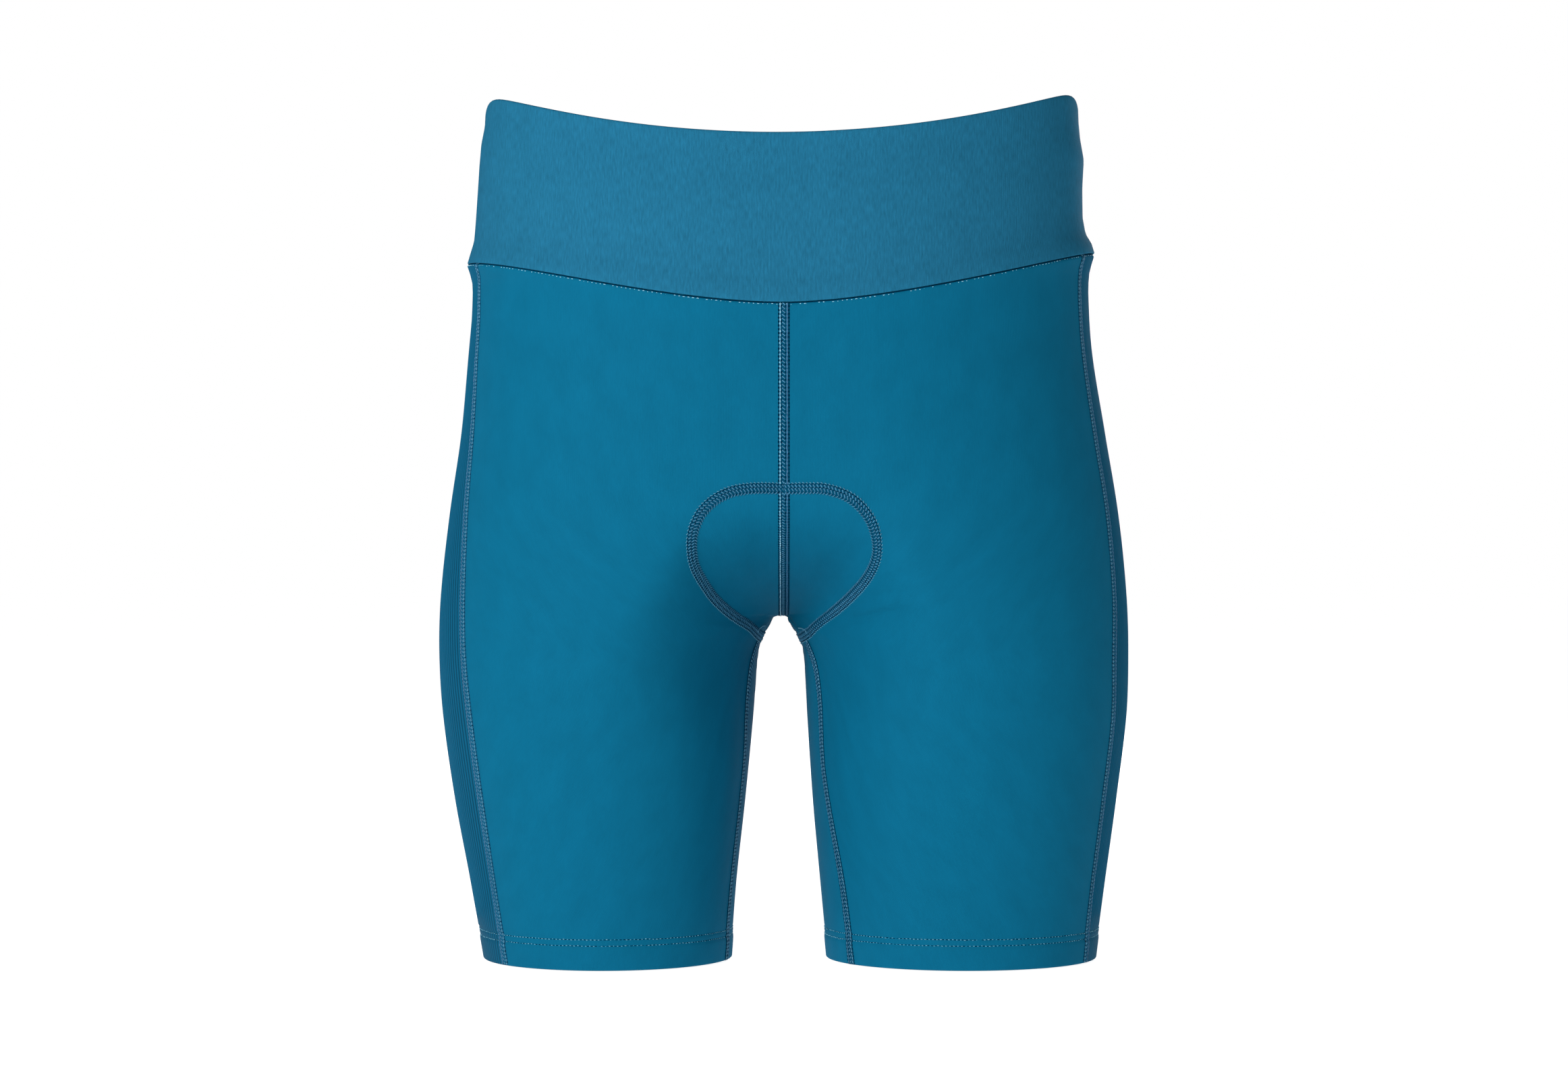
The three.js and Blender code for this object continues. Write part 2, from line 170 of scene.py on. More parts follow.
def bump(distance, width):
    """A soft hill, 1 at its middle and gone at about twice its width."""
    return np.exp(-((distance / width) ** 2))


def inner_quarter(q, z, depth, full_x, inner_x):
    """A section from the centre seam or inseam (q 0) to where it is fullest (q 1)."""
    turn = q * np.pi / 2
    rate = np.pi / (2 * full_x)
    up = np.clip((z - CROTCH_Z) / CROTCH_RISE, 0, 1)
    gap = (column(WIDTHS, "in_right", z) + column(WIDTHS, "in_left", z)) / 2
    start = CROTCH_RISE * (rate * gap) ** 2 / CROTCH_EASE
    above = depth**2 * (up**2 * (3 - 2 * up) + start * up * (1 - up) ** 2)
    square = np.where(z < CROTCH_Z, -((depth * np.tan(rate * inner_x)) ** 2), above)
    trunk_y = np.sqrt(np.maximum(square, 0) * np.cos(turn) ** 2 + (depth * np.sin(turn)) ** 2)
    leg_y = depth * np.sin(turn)
    share = (leg_y**2 - square) / (depth**2 - square)
    pointed = full_x * np.arcsin(np.sqrt(np.clip(share, 0, 1))) * 2 / np.pi
    rounded = full_x - (full_x - inner_x) * np.cos(turn)
    below = smoothstep(CROTCH_Z - z, 0, THIGH_ROUNDING)
    on_leg = z < CROTCH_Z
    x = np.where(on_leg, pointed + (rounded - pointed) * below, full_x * q)
    return x, np.where(on_leg, leg_y, trunk_y)


def settle(half, place, below_crotch):
    """The half of the body that a place lies on, past a centre seam or an inseam too."""
    past = (place < 0) | (place > 1)
    on_leg = np.where(place < 0, 1 + place, place - 1)
    on_trunk = np.where(place < 0, -place, 2 - place)
    wrapped = np.where(below_crotch, on_leg, on_trunk)
    return np.where(past & ~below_crotch, -half, half), np.where(past, wrapped, place)


def body_point(half, place, z):
    """Points of the body line. Places run on each half from 0 at the centre front to 1 at the
    centre back, with 0.5 at the side."""
    z, place = np.broadcast_arrays(np.asarray(z, float), np.asarray(place, float))
    half, s = settle(half, place, z < CROTCH_Z)
    front = s < 0.5
    full_x = np.where(front, column(DEPTHS, "front_x", z), column(DEPTHS, "back_x", z))
    full_y = np.where(front, column(DEPTHS, "front_y", z), column(DEPTHS, "back_y", z))
    out_x = by_half(half, WIDTHS, "out_", z)
    side_y = column(DEPTHS, "side_y", z)
    inner_x = by_half(half, WIDTHS, "in_", z) * between_rows(half, PARTING, "", CROTCH_Z - z)
    quarter = np.where(front, s, 1 - s) * 4
    facing = np.where(front, -1, 1)
    depth = full_y - facing * CROTCH_Y
    x, y = inner_quarter(np.minimum(quarter, 1), z, depth, full_x, inner_x)
    turn = (np.maximum(quarter, 1) - 1) * np.pi / 2
    outer = quarter >= 1
    x = np.where(outer, full_x + (out_x - full_x) * np.sin(turn), x)
    outer_y = side_y + (facing * full_y - side_y) * np.cos(turn)
    y = np.where(outer, outer_y, CROTCH_Y + facing * y)
    return np.stack([half * x, y, z], axis=-1)


def level_line(line, half, place):
    """Height of a line round the body, by how far a place is out to the side."""
    at_waist = body_point(half, place, WAIST_LEVEL)
    x, y = at_waist[..., 0], at_waist[..., 1]
    out_x = by_half(np.sign(x), WIDTHS, "out_", np.full(x.shape, WAIST_LEVEL))
    middle = np.where(y < 0, line["front"], line["back"])
    share = np.minimum(np.abs(x) / out_x, 1)
    falling = np.where(y < 0, np.exp((share - 1) / CORNER_SHARE), share ** line["power"])
    dip = line.get("dip", 0) * falling
    dip = dip + line.get("sag", 0) * share**6 * (x < 0)
    rise = (line["side"] - middle) * share ** line["power"]
    return middle + rise + BAND_TILT * x / out_x - dip


def seam_height(top, down):
    """Height of a row at the centre seam or inseam, where rows close up towards the crotch."""
    q = np.clip(down / CROTCH_DOWN, 0, 1)
    curve_top = CROTCH_Z + CROTCH_RISE
    turn = np.clip((q - STRAIGHT_SHARE) / (1 - STRAIGHT_SHARE), 0, 1) * np.pi / 2
    straight = top + (curve_top - top) * np.minimum(q / STRAIGHT_SHARE, 1)
    trunk = np.where(q < STRAIGHT_SHARE, straight, curve_top - CROTCH_RISE * np.sin(turn))
    leg_q = np.clip((down - CROTCH_DOWN) / (1 - CROTCH_DOWN), 0, 1)
    leg = CROTCH_Z + (HEM_TOP - CROTCH_Z) * leg_q**CLOSING_ROWS
    return np.where(down > CROTCH_DOWN, leg, trunk)


def row_height(half, place, down):
    """Height of a panel's row, from the waistband seam (down 0) to the hem (down 1)."""
    half, s = settle(half, np.asarray(place, float), np.asarray(down) > CROTCH_DOWN)
    top = level_line(BAND_SEAM, half, s)
    plain = top + (HEM_TOP - top) * down
    apart = smoothstep(np.minimum(s, 1 - s), 0, SEAM_ROWS_REACH)
    centre = seam_height(top, down)
    return centre + (plain - centre) * apart


def side_seam(half, front, z):
    """Place of a side seam at a height."""
    full_x = column(DEPTHS, "front_x" if front else "back_x", z)
    out_x = by_half(half, WIDTHS, "out_", z)
    inset = by_half(half, SIDE_SEAMS, "", z) if front else column(SIDE_SEAMS, "back", z)
    quarters = 1 + np.arcsin(1 - inset / (out_x - full_x)) * 2 / np.pi
    return quarters / 4 if front else 1 - quarters / 4


def inseam(half, z):
    """Place of an inseam on the front of the thigh, at a height."""
    z = np.asarray(z, float)
    full_x = column(DEPTHS, "front_x", z)
    inner_x = by_half(half, WIDTHS, "in_", z)
    inset = by_half(half, INSEAMS, "", z)
    place = np.arccos(1 - inset / (full_x - inner_x)) / (2 * np.pi)
    return np.where(z < CROTCH_Z, place, 0)


def unit(vectors):
    length = np.linalg.norm(vectors, axis=-1, keepdims=True)
    return vectors / np.maximum(length, 1e-9)


def even_places(half, start, end, down, drop, steps):
    """Places from start to end that are evenly spaced along one row."""
    t = np.linspace(start, end, 240)
    row = body_point(half, t, row_height(half, t, down) - drop)
    walked = np.append(0, np.cumsum(np.linalg.norm(np.diff(row, axis=0), axis=1)))
    return np.interp(np.linspace(0, walked[-1], steps + 1), walked, t)


def grid_normals(points, half):
    """Outward directions of a grid of points, whose rows go down and columns round the body."""
    across = np.gradient(points, axis=1)
    downwards = np.gradient(points, axis=0)
    return unit(np.cross(downwards, across)) * half


# Hem of a panel, by how far each row is below the hem's top and off the body line: it is drawn in
# at the two rows of stitches, lies flat, turns under at the edge and comes up again inside
HEM_STITCHES = (2, 5.2)
HEM_FLAT = [(-2, 0), (-0.5, 0), (0.7, -0.03), (2, -0.22), (2.8, 0.12), (3.6, 0.2), (4.4, 0.12)]
HEM_FLAT += [(5.2, -0.1), (6.2, 0.4), (7.6, 0.58), (10, HEM_FOLD), (13, HEM_FOLD)]
TURN_RADIUS = 0.8
TURN_STEPS = 6


def hem_rows():
    rows = list(HEM_FLAT)
    for turn in np.linspace(0, np.pi, TURN_STEPS + 1):
        drop = HEM_DEPTH - TURN_RADIUS * (1 - np.sin(turn))
        rows.append((drop, HEM_FOLD - TURN_RADIUS * (1 - np.cos(turn))))
    inside = HEM_FOLD - 2 * TURN_RADIUS
    rows += [(12, inside), (7, inside), (3, inside)]
    return rows


# Soft creases and scuffs, seen from the front or the back: where each starts and ends, how wide
# and how deep it is. A negative depth is a ridge, and those behind are a guess.
FRONT_CREASES = [
    ((33, -230.6), (66, -222.6), 2, -0.7),
    ((33, -234), (60, -226.8), 2.1, 0.9),
    ((42, -222.4), (60, -217), 2, 0.7),
    ((43, -219), (58, -213.8), 1.8, -0.4),
    ((44, -215.8), (58, -210.2), 2, 0.6),
    ((76, -240), (146, -238.6), 2, 0.34),
    ((97, -237), (106, -243), 1.5, -0.35),
    ((90, -262), (96, -264.5), 1, -0.2),
    ((-122, -239), (-112, -240), 1, -0.15),
    ((-40, -226), (-58, -216), 2.4, 0.22),
    ((50, -180), (14, -240), 12.5, 4),
    ((-50, -192), (-14, -240), 12, 2.8),
    ((-30, -236), (-36, -300), 13, 1.4),
    ((5, -234), (13, -239), 3, 1.2),
    ((-8, -233), (-16, -238), 3, 1),
]
BACK_CREASES = [
    ((18, -226), (54, -214), 3.4, 0.7),
    ((20, -234), (48, -226), 2.6, 0.5),
    ((-16, -228), (-58, -212), 3.2, 0.65),
    ((-22, -238), (-44, -230), 2.4, 0.4),
    ((60, -262), (104, -256), 3, 0.3),
    ((-66, -268), (-98, -261), 2.8, 0.26),
    ((44, -78), (92, -72), 4, 0.3),
    ((-52, -84), (-88, -76), 3.6, 0.26),
]


def creased(points):
    """How far each point moves out or in for the creases near it."""
    moved = np.zeros(points.shape[:-1])
    in_front, behind = points[..., 1] < CROTCH_Y, points[..., 1] > CROTCH_Y
    for creases, facing in ((FRONT_CREASES, in_front), (BACK_CREASES, behind)):
        for start, end, width, depth in creases:
            along = np.array(end) - np.array(start)
            at = points[..., [0, 2]] - np.array(start)
            q = np.clip(at @ along / (along @ along), 0, 1)
            distance = np.linalg.norm(at - q[..., None] * along, axis=-1)
            swell = np.sin(np.clip(q, 0.02, 0.98) * np.pi) ** 0.6
            moved -= depth * swell * bump(distance, width) * facing
    return moved


SLACK = 0.22


def relief(points):
    """Creases, and the slow unevenness of cloth that nothing holds flat."""
    x, y, z = np.moveaxis(points, -1, 0)
    slow = np.sin(x / 31 + z / 47 + 1) * np.sin(z / 39 - y / 53)
    return creased(points) + slow * SLACK


SIDE_REACH = 160


def across_body(table, x, at):
    """A table's values between its middle and its side columns, by how far out to the side."""
    first = next(iter(table.values()))
    aside = np.clip(np.abs(x) / SIDE_REACH, 0, 1) ** 3
    side = between_rows(x, table, "", at)
    return np.interp(at, first, table["middle"]) * (1 - aside) + side * aside


def panel_grid(half, seams, steps, rows_per_step, raised=None):
    """Outer points of a panel between two seams, in rows from under the waistband's edge, where
    its top is tucked in, down to the hem's inner edge."""
    count = ROW_STEPS * rows_per_step
    rows = [(0, drop, None) for drop in TOP_DROPS]
    rows += [(j / count, 0, None) for j in range(1, count + 1)]
    rows += [(1, drop, off) for drop, off in hem_rows() if drop > 0]
    points, offsets, held = [], [], []
    for down, drop, hem_off in rows:
        at_side = float(row_height(half, 0.5, down)) - drop
        at_centre = float(row_height(half, 0, down)) - drop
        start, end = (float(seam(half, at_side, at_centre)) for seam in seams)
        places = even_places(half, start, end, down, drop, steps)
        row = body_point(half, places, row_height(half, places, down) - drop)
        below = level_line(BAND_SEAM, half, places) - row[:, 2]
        off = across_body(TOP_ROLL, row[:, 0], below)
        off = off + np.interp(HEM_TOP - row[:, 2], *zip(*HEM_FLAT)) if hem_off is None else hem_off
        if raised is not None:
            off = off + raised(np.linspace(0, 1, steps + 1), row)
        points.append(row)
        offsets.append(off + np.zeros(steps + 1))
        held.append(hem_off is not None)
    points, offsets, held = np.array(points), np.array(offsets), np.array(held)
    normals = grid_normals(points, half)
    top = np.argmax(held)
    normals[top - 1 :] = normals[top - 2]
    normals[held, :, 2] = 0
    moved = relief(points)
    moved[top:] = moved[top - 1]
    return points + unit(normals) * (offsets + moved)[..., None]


CLOTH_UV = "cloth"
FULL_TURN = 6.2832
ROW_RATE = 8.8
FLECKS_PER_METRE = (1150, 210, 1)
PATCHES_PER_METRE = (80, 50, 1)


def knit_group():
    """Closely knitted cloth on the piece's UV map, in metres: columns of loops across, rows of
    loops down, slow unevenness of colour, fine flecks drawn out along the columns, and painted
    shade in the hollows between loops and in the grooves between any ribs."""
    group = bpy.data.node_groups.new("closely_knitted_cloth", "ShaderNodeTree")
    face = group.interface
    for name, kind, value in (
        ("Colour", "NodeSocketColor", (0, 0.15, 0.3, 1)),
        ("Loops per Metre", "NodeSocketFloat", 1500),
        ("Relief", "NodeSocketFloat", 0.3),
        ("Flecks", "NodeSocketFloat", 0.1),
        ("Unevenness", "NodeSocketFloat", 0.06),
        ("Ribs per Metre", "NodeSocketFloat", 0),
        ("Groove Shade", "NodeSocketFloat", 0),
    ):
        face.new_socket(name, in_out="INPUT", socket_type=kind).default_value = value
    for name, kind in (("Colour", "NodeSocketColor"), ("Normal", "NodeSocketVector")):
        face.new_socket(name, in_out="OUTPUT", socket_type=kind)
    nodes, links = group.nodes, group.links
    taken = nodes.new("NodeGroupInput")
    given = nodes.new("NodeGroupOutput")
    uv = nodes.new("ShaderNodeUVMap")
    uv.uv_map = CLOTH_UV

    def scaled(factors):
        node = nodes.new("ShaderNodeVectorMath")
        node.operation = "MULTIPLY"
        node.inputs[1].default_value = factors
        links.new(uv.outputs[0], node.inputs[0])
        return node.outputs[0]

    def noise(factors, detail):
        node = nodes.new("ShaderNodeTexNoise")
        node.inputs["Scale"].default_value = 1
        node.inputs["Detail"].default_value = detail
        links.new(scaled(factors), node.inputs["Vector"])
        return node.outputs["Fac"]

    def math(operation, *values):
        node = nodes.new("ShaderNodeMath")
        node.operation = operation
        for socket, value in zip(node.inputs, values):
            if isinstance(value, (int, float)):
                socket.default_value = value
            else:
                links.new(value, socket)
        return node.outputs[0]

    # Loops: a V where each column meets its neighbour, shifted from row to row
    apart = nodes.new("ShaderNodeSeparateXYZ")
    links.new(uv.outputs[0], apart.inputs[0])
    across = math("MULTIPLY", apart.outputs[0], taken.outputs["Loops per Metre"])
    down = math("MULTIPLY", apart.outputs[1], taken.outputs["Loops per Metre"])
    column_wave = math("SINE", math("MULTIPLY", across, FULL_TURN))
    lean = math("MULTIPLY", column_wave, 1.4)
    row_wave = math("SINE", math("ADD", math("MULTIPLY", down, ROW_RATE), lean))
    loops = math("MULTIPLY_ADD", row_wave, 0.5, column_wave)
    flecks = noise(FLECKS_PER_METRE, 2)
    height = math("MULTIPLY_ADD", flecks, 1.5, loops)
    raise_node = nodes.new("ShaderNodeBump")
    raise_node.inputs["Distance"].default_value = 0.0001
    links.new(taken.outputs["Relief"], raise_node.inputs["Strength"])
    links.new(height, raise_node.inputs["Height"])
    links.new(raise_node.outputs[0], given.inputs["Normal"])

    # Colour: base, lightened by flecks and slow noise, with painted shade in the hollows between
    # loops and in the grooves between any ribs
    slow = noise(PATCHES_PER_METRE, 4)
    light = math("MULTIPLY", math("SUBTRACT", slow, 0.5), taken.outputs["Unevenness"])
    fleck = math("MULTIPLY", math("SUBTRACT", flecks, 0.5), taken.outputs["Flecks"])
    shade = math("MULTIPLY", math("MULTIPLY", loops, 0.1), taken.outputs["Relief"])
    value = math("ADD", math("ADD", math("ADD", light, fleck), shade), 1)
    ribs_across = math("MULTIPLY", apart.outputs[0], taken.outputs["Ribs per Metre"])
    turns = math("MULTIPLY", ribs_across, FULL_TURN)
    groove = math("POWER", math("MULTIPLY_ADD", math("COSINE", turns), 0.5, 0.5), 3)
    value = math("SUBTRACT", value, math("MULTIPLY", groove, taken.outputs["Groove Shade"]))
    tint = nodes.new("ShaderNodeVectorMath")
    tint.operation = "SCALE"
    links.new(taken.outputs["Colour"], tint.inputs[0])
    links.new(value, tint.inputs["Scale"])
    links.new(tint.outputs[0], given.inputs["Colour"])
    return group


# Painted shade: how much the colour is darkened in the grooves between ribs
GROOVE_SHADE = 0.65
knit = knit_group()


def new_material(name):
    """A new material, with its nodes, its links and its shader."""
    material = bpy.data.materials.new(name)
    material.use_nodes = True
    nodes, links = material.node_tree.nodes, material.node_tree.links
    return material, nodes, links, nodes["Principled BSDF"]


def set_values(node, values):
    for socket, value in values.items():
        node.inputs[socket].default_value = value


def knit_material(
    name, colour, loops, relief_share, flecks, unevenness, roughness, sheen, rib_pitch=None
):
    """A dyed cloth with the closely knitted look, and with painted shade in the grooves between any
    ribs.
    """
    material, nodes, links, shader = new_material(name)
    set_values(shader, {
        "Roughness": roughness,
        "Specular IOR Level": 0.015,
        "Sheen Weight": sheen,
        "Sheen Roughness": 0.45,
        "Sheen Tint": (0.08, 0.42, 0.62, 1),
    })
    cloth = nodes.new("ShaderNodeGroup")
    cloth.node_tree = knit
    set_values(cloth, {
        "Colour": (*colour, 1),
        "Loops per Metre": loops,
        "Relief": relief_share,
        "Flecks": flecks,
        "Unevenness": unevenness,
    })
    if rib_pitch:
        set_values(cloth, {"Ribs per Metre": 1 / (rib_pitch * MM), "Groove Shade": GROOVE_SHADE})
    links.new(cloth.outputs["Colour"], shader.inputs["Base Color"])
    links.new(cloth.outputs["Normal"], shader.inputs["Normal"])
    return material


def walked_lengths(points, axis):
    """Distance walked along each row or column of a grid of points."""
    steps = np.linalg.norm(np.diff(points, axis=axis), axis=-1)
    return np.insert(np.cumsum(steps, axis=axis), 0, 0, axis=axis)


def laid_grid(bm, points, flipped=False, across=None, material=0):
    """A grid bent so that its points are at the given ones, in millimetres. Its UV map has each
    point's distance across and down the cloth, in metres."""
    rows, columns = points.shape[:2]
    made = bmesh.ops.create_grid(bm, x_segments=columns - 1, y_segments=rows - 1, size=1)
    verts = made["verts"]
    for vert, point in zip(verts, points.reshape(-1, 3) * MM):
        vert.co = point
    if across is None:
        across = walked_lengths(points, 1)
    across = np.broadcast_to(across, (rows, columns)).reshape(-1) * MM
    down = walked_lengths(points, 0).reshape(-1) * MM
    uv_of = {vert: (u, v) for vert, u, v in zip(verts, across, down)}
    layer = bm.loops.layers.uv.get(CLOTH_UV) or bm.loops.layers.uv.new(CLOTH_UV)
    faces = {face for vert in verts for face in vert.link_faces}
    for face in faces:
        face.smooth = True
        face.material_index = material
        for loop in face.loops:
            loop[layer].uv = uv_of[loop.vert]
    if flipped:
        bmesh.ops.reverse_faces(bm, faces=list(faces))
    return verts


def finished(name, bm, *materials):
    """The mesh as a piece of the garment, which rides with its one body."""
    mesh = bpy.data.meshes.new(name)
    bm.to_mesh(mesh)
    bm.free()
    piece = bpy.data.objects.new(name, mesh)
    bpy.context.scene.collection.objects.link(piece)
    for material in materials:
        mesh.materials.append(material)
    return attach(piece, "root")


cloth_shapes = {}


def cloth_piece(name, points, half, material, across=None):
    """A cut piece of cloth with its thickness, standing for its plain solid."""
    bm = bmesh.new()
    laid_grid(bm, points, half > 0, across)
    piece = finished(name + "_cloth", bm, material)
    cloth_shapes[name] = BVHTree.FromObject(piece, bpy.context.evaluated_depsgraph_get())
    wall = piece.modifiers.new("thickness", "SOLIDIFY")
    wall.thickness = CLOTH * MM
    wall.offset = -1
    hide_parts(name)
    return piece


def halves(name):
    return ((LEFT, name + "_left"), (RIGHT, name + "_right"))


def at_inseam(half, at_side, at_centre):
    return inseam(half, at_centre)


def at_front_seam(half, at_side, at_centre):
    return side_seam(half, True, at_side)


smooth_knit = knit_material(
    "smooth_knit", (0.002, 0.104, 0.192), 1700, 0.25, 0.14, 0.24, 0.62, 0.03
)
FRONT_COLUMNS = 112
panels = {}
for half, name in halves("front"):
    points = panel_grid(half, [at_inseam, at_front_seam], FRONT_COLUMNS, 9)
    panels[name] = cloth_piece(name, points, half, smooth_knit)


# Side panels
# Two narrow pieces of ribbed knit down the outside of each leg, from the front side seam to the
# back one. Their ribs are knitted in and fade where the hem is pressed.
RIB_COUNT = 30
RIB_COLUMNS = 5
RIB_HEIGHT = 0.5
RIB_SUNK = 0.4
RIB_PITCH = 2.4
RIB_FADE = 14
RIB_EDGE = 0.012


def at_back_seam(half, at_side, at_centre):
    return side_seam(half, False, at_side)


def ribs(share, row):
    """Rounded ribs with narrower grooves between them, by the share of the way across."""
    wave = 0.5 - 0.5 * np.cos(share * RIB_COUNT * 2 * np.pi)
    edges = smoothstep(np.minimum(share, 1 - share), 0, RIB_EDGE)
    fade = smoothstep(np.mean(row[:, 2]), HEM_TOP, HEM_TOP + RIB_FADE)
    return (RIB_HEIGHT * wave**0.7 - RIB_SUNK) * edges * fade


ribbed_knit = knit_material(
    "ribbed_knit", (0.003, 0.085, 0.165), 1700, 0.2, 0.1, 0.08, 0.6, 0.03, RIB_PITCH
)
across_ribs = np.linspace(0, RIB_COUNT * RIB_PITCH, RIB_COUNT * RIB_COLUMNS + 1)
for half, name in halves("side"):
    steps = RIB_COUNT * RIB_COLUMNS
    points = panel_grid(half, [at_front_seam, at_back_seam], steps, 4, ribs)
    panels[name] = cloth_piece(name, points, half, ribbed_knit, across_ribs)


# Back panels
# Two mirrored pieces of the same smooth knit as the front, from the back side seam to the centre
# back seam and round the inner thigh to the inseam.
def at_inseam_from_back(half, at_side, at_centre):
    return 1 + inseam(half, at_centre)


BACK_COLUMNS = 84
for half, name in halves("back"):
    points = panel_grid(half, [at_back_seam, at_inseam_from_back], BACK_COLUMNS, 6)
    panels[name] = cloth_piece(name, points, half, smooth_knit)


# Waistband
# A wide double band of firm, slightly napped knit, cut as a front and a back and folded at the
# rim. Its lower edge is turned in over the top of the panels.
BAND_PROFILE = {
    "down": [0, 0.1, 0.22, 0.36, 0.55, 0.76, 0.88, 0.94, 1],
    "middle": [-1.9, -2.2, -1.6, -0.3, 0, 0.1, 1, 2, 2.6],
    "right": [-2, -1.6, 0.3, 1.1, 1.6, 2.2, 2.6, 3.7, 4.7],
    "left": [-4.3, -4.1, -3.4, -1.6, -2.4, -2.5, -1, 1.8, 3.3],
    "inside": [0, -2, -2.5, -2.5, -2.5, -2.4, -1.9, -1.5, -1.3],
}
BAND_COLUMNS = 140
BAND_ROWS = 34
RIM_RADIUS = 1.1
RIM_STEPS = 6
LIP_RADIUS = 0.7
LIP_STEPS = 5
LIP_RISE = 1.1
CHANNEL = {"below_rim": 8.3, "width": 0.6, "depth": 0.28}
ALLOWANCE = {"above_seam": 10.5, "slope": 1.2, "step": 0.3}
BAND_SLACK = 0.2


def band_grid(front):
    """Outer points of half the band, from inside its turned lower edge, up to the rim, over it and
    down the inner layer."""
    r = np.linspace(-0.5, 0.5, BAND_COLUMNS + 1)
    half = np.where(r > 0, LEFT, RIGHT) if front else np.where(r > 0, RIGHT, LEFT)
    place = np.abs(r) if front else 1 - np.abs(r)
    top = level_line(RIM, half, place)
    bottom = level_line(BAND_SEAM, half, place)
    height = top - bottom

    # Each row: how far down the band it is, how far above that, how far in, and on which layer
    rows = []
    for turn in np.linspace(np.pi, 0, LIP_STEPS + 1)[:-1]:
        rise = LIP_RISE - LIP_RADIUS * np.sin(turn)
        rows.append((1, rise, LIP_RADIUS * (1 - np.cos(turn)), True))
    for down in np.linspace(1, 0, BAND_ROWS + 1)[:-1]:
        rows.append((down, LIP_RISE * down, 0, True))
    for turn in np.linspace(0, np.pi, RIM_STEPS + 1):
        rise = RIM_RADIUS * np.sin(turn) - RIM_RADIUS
        rows.append((0, rise, RIM_RADIUS * (1 - np.cos(turn)), False))
    for down in np.linspace(0, 1, BAND_ROWS // 2 + 1)[1:]:
        rows.append((down, 0, 2 * RIM_RADIUS, False))

    level = body_point(half, place, (top + bottom) / 2)
    around = np.gradient(level, axis=0)
    outward = unit(np.stack([around[:, 1], -around[:, 0], np.zeros(len(r))], axis=-1))
    points = []
    for down, rise, inward, outside in rows:
        z = top - down * height + rise
        row = body_point(half, place, z)
        off = across_body(BAND_PROFILE, level[:, 0], down) - inward
        if not outside:
            off = np.minimum(off, column(BAND_PROFILE, "inside", down))
        else:
            from_rim, from_seam = down * height, (1 - down) * height
            off = off - CHANNEL["depth"] * bump(from_rim - CHANNEL["below_rim"], CHANNEL["width"])
            edge, slope = ALLOWANCE["above_seam"], ALLOWANCE["slope"]
            off = off + ALLOWANCE["step"] * (1 - smoothstep(from_seam, edge - slope, edge + slope))
            slow = np.sin(row[:, 0] / 43 + row[:, 2] / 17) * np.sin(row[:, 2] / 23 - row[:, 0] / 71)
            off = off + BAND_SLACK * slow * np.sin(np.pi * np.clip(down, 0, 1))
        points.append(row + outward * np.asarray(off)[..., None])
    return np.array(points)


band_knit = knit_material("band_knit", (0.012, 0.121, 0.217), 1500, 0.45, 0.7, 0.2, 0.75, 0.02)
for front, name in ((True, "waistband_front"), (False, "waistband_back")):
    points = band_grid(front)
    lengths = walked_lengths(points, 1)
    lengths = lengths - lengths[:, BAND_COLUMNS // 2, None]
    band = cloth_piece(name, points, RIGHT, band_knit, lengths)


# Seams
# Every panel seam is a flatlock: two cloth edges lapped flat, with a needle row near each edge,
# slanting loops between them and small dark holes of painted shade. The centre seam has the
# brightest row, with painted highlights on its stitches.
def rolled_point(half, place, z):
    """A point of the body line moved out with the rolled top of the panels."""
    point = body_point(half, place, z)
    around = body_point(half, place + 0.001, z) - body_point(half, place - 0.001, z)
    level = np.stack([around[:, 1], -around[:, 0], np.zeros(len(z))], axis=-1)
    off = across_body(TOP_ROLL, point[:, 0], level_line(BAND_SEAM, half, place) - z)
    return point + half * unit(level) * off[:, None]


def evenly(points, spacing):
    """The same line with its points a set distance apart."""
    walked = np.append(0, np.cumsum(np.linalg.norm(np.diff(points, axis=0), axis=1)))
    count = max(int(round(walked[-1] / spacing)), 2)
    at = np.linspace(0, walked[-1], count + 1)
    return np.stack([np.interp(at, walked, points[:, k]) for k in range(3)], axis=-1)


def on_cloth(points, lift, names):
    """Points brought to the nearest cloth of the named pieces and lifted off it, with the cloth's
    outward direction."""
    shapes = [cloth_shapes[name] for name in names]
    flat = points.reshape(-1, 3)
    lifts = np.broadcast_to(lift, points.shape[:-1]).reshape(-1)
    laid, normals = np.empty_like(flat), np.empty_like(flat)
    for i, point in enumerate(flat * MM):
        hits = [shape.find_nearest(Vector(point)) for shape in shapes]
        place, normal, _, _ = min(hits, key=lambda hit: hit[3])
        laid[i] = place
        normals[i] = normal
    laid = laid / MM + normals * lifts[:, None]
    return laid.reshape(points.shape), normals.reshape(points.shape)


def smoothed(values, times):
    for _ in range(times):
        values[1:-1] = (values[:-2] + 2 * values[1:-1] + values[2:]) / 4
    return values


# Stitches: their length, their rings, how uneven a thread is and how deep an unseen one lies
PITCH = 1.95
RINGS = 4
LOOSE = 0.035
UNSEEN = 0.7
chance = np.random.default_rng(11)


def sewing_line(points, names, pitch=PITCH):
    """A line to sew on: its points, four to a stitch, and its directions across and out."""
    line = evenly(points, pitch / RINGS)
    laid, normals = on_cloth(line, 0, names)
    normals = unit(smoothed(normals, 6))
    along = unit(smoothed(np.gradient(laid, axis=0), 3))
    across = unit(np.cross(normals, along))
    return {"points": laid, "across": across, "out": normals, "names": names}


